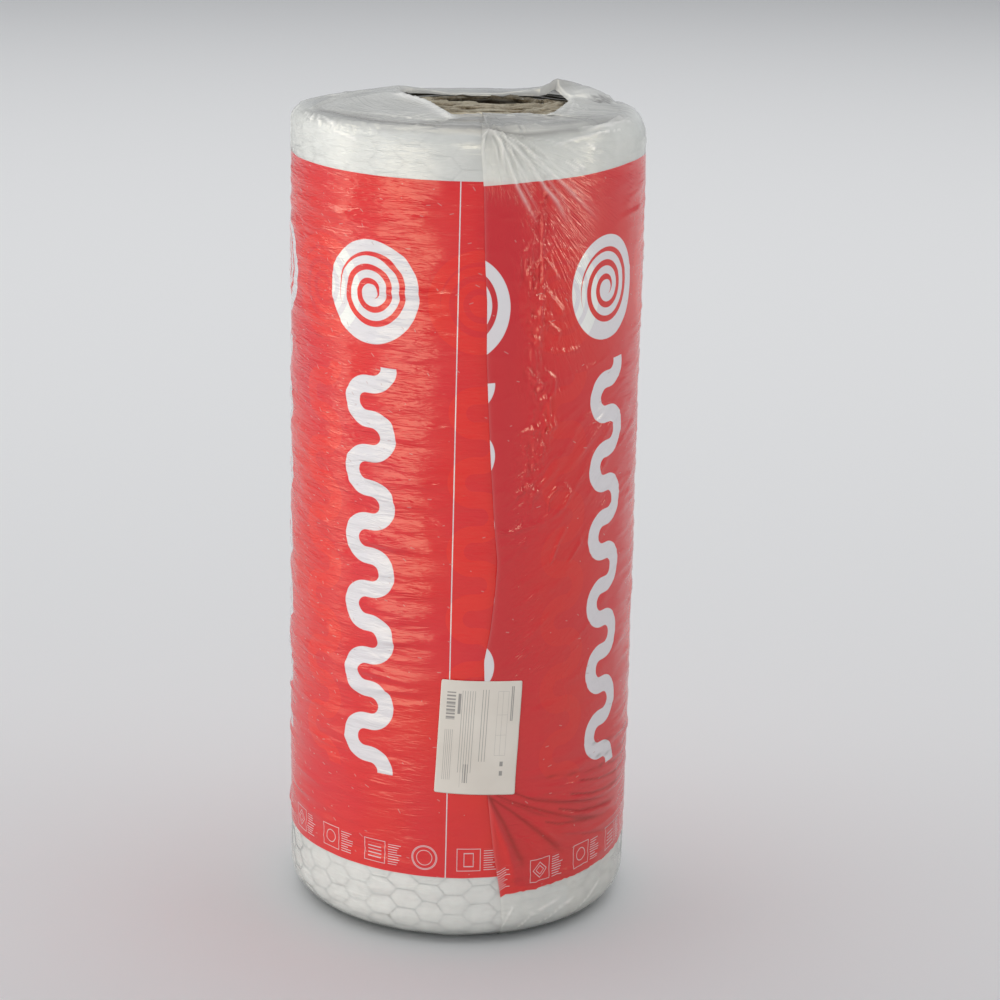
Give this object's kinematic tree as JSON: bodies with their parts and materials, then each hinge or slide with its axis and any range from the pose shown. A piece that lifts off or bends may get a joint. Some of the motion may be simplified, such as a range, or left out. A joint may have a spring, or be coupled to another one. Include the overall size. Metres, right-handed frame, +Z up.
{
  "type": "insulation roll",
  "caption": "Roll of foil-faced stone-wool mat standing on its end, wound round a bore and wrapped in a printed film shrunk over both rims, with a paper label.",
  "frame": {"origin": "middle of the face that the roll stands on, on the axis of its bore", "axes": "+Z up along the roll's axis; -Y towards the front, where the film's cut end and the paper label are; +X to the right as seen from the front"},
  "size_m": [0.4271, 0.4285, 1.0282],
  "materials": {
    "stone_wool": "coarse matt mineral wool, beige with brown strands",
    "foil": "thin crumpled foil with a galvanised netting over it",
    "netting_wire": "fine galvanised wire",
    "printed_film": "glossy wrinkled polyethylene film, printed red with white margins",
    "paper": "matt self-adhesive paper"
  },
  "bodies": {
    "root": {"wool_mat": "stone_wool", "foil_facing": "foil", "shrink_film": "printed_film", "paper_label": "paper"}
  },
  "joints": []
}
